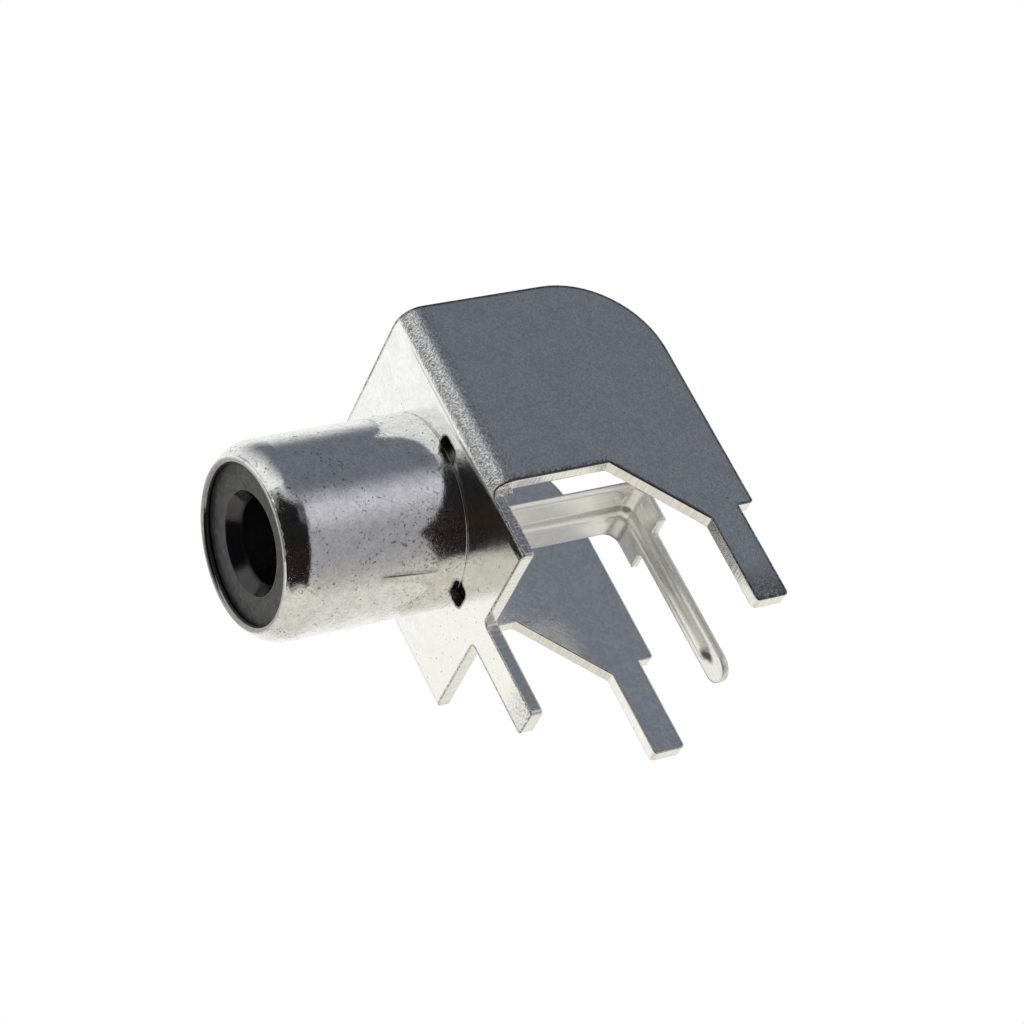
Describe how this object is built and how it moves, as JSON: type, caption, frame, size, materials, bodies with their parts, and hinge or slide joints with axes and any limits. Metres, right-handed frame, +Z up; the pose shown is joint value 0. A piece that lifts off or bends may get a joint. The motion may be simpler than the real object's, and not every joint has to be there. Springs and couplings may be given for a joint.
{
  "type": "right-angle phono socket",
  "caption": "Board-mounted right-angle phono socket: plated barrel with a black insulator, folded tinned bracket with solder legs, and a ribbed centre contact bent down to a signal pin.",
  "frame": {"origin": "middle of the signal pin at the board's top face", "axes": "+Z up from the board, -Y out of the barrel's mouth, +X to the right of someone who looks into the mouth"},
  "size_m": [0.012, 0.019, 0.0167],
  "materials": {
    "tinned_sheet": "satin tin plate with fine grain",
    "plated_barrel": "bright nickel plate with fine pits and scratches",
    "black_moulding": "matte moulded",
    "tinned_contact": "bright tin plate over a brass strip"
  },
  "bodies": {
    "root": {"shell_bracket": "tinned_sheet", "barrel_sleeve": "plated_barrel", "insulator": "black_moulding", "centre_contact": "tinned_contact"}
  },
  "joints": []
}
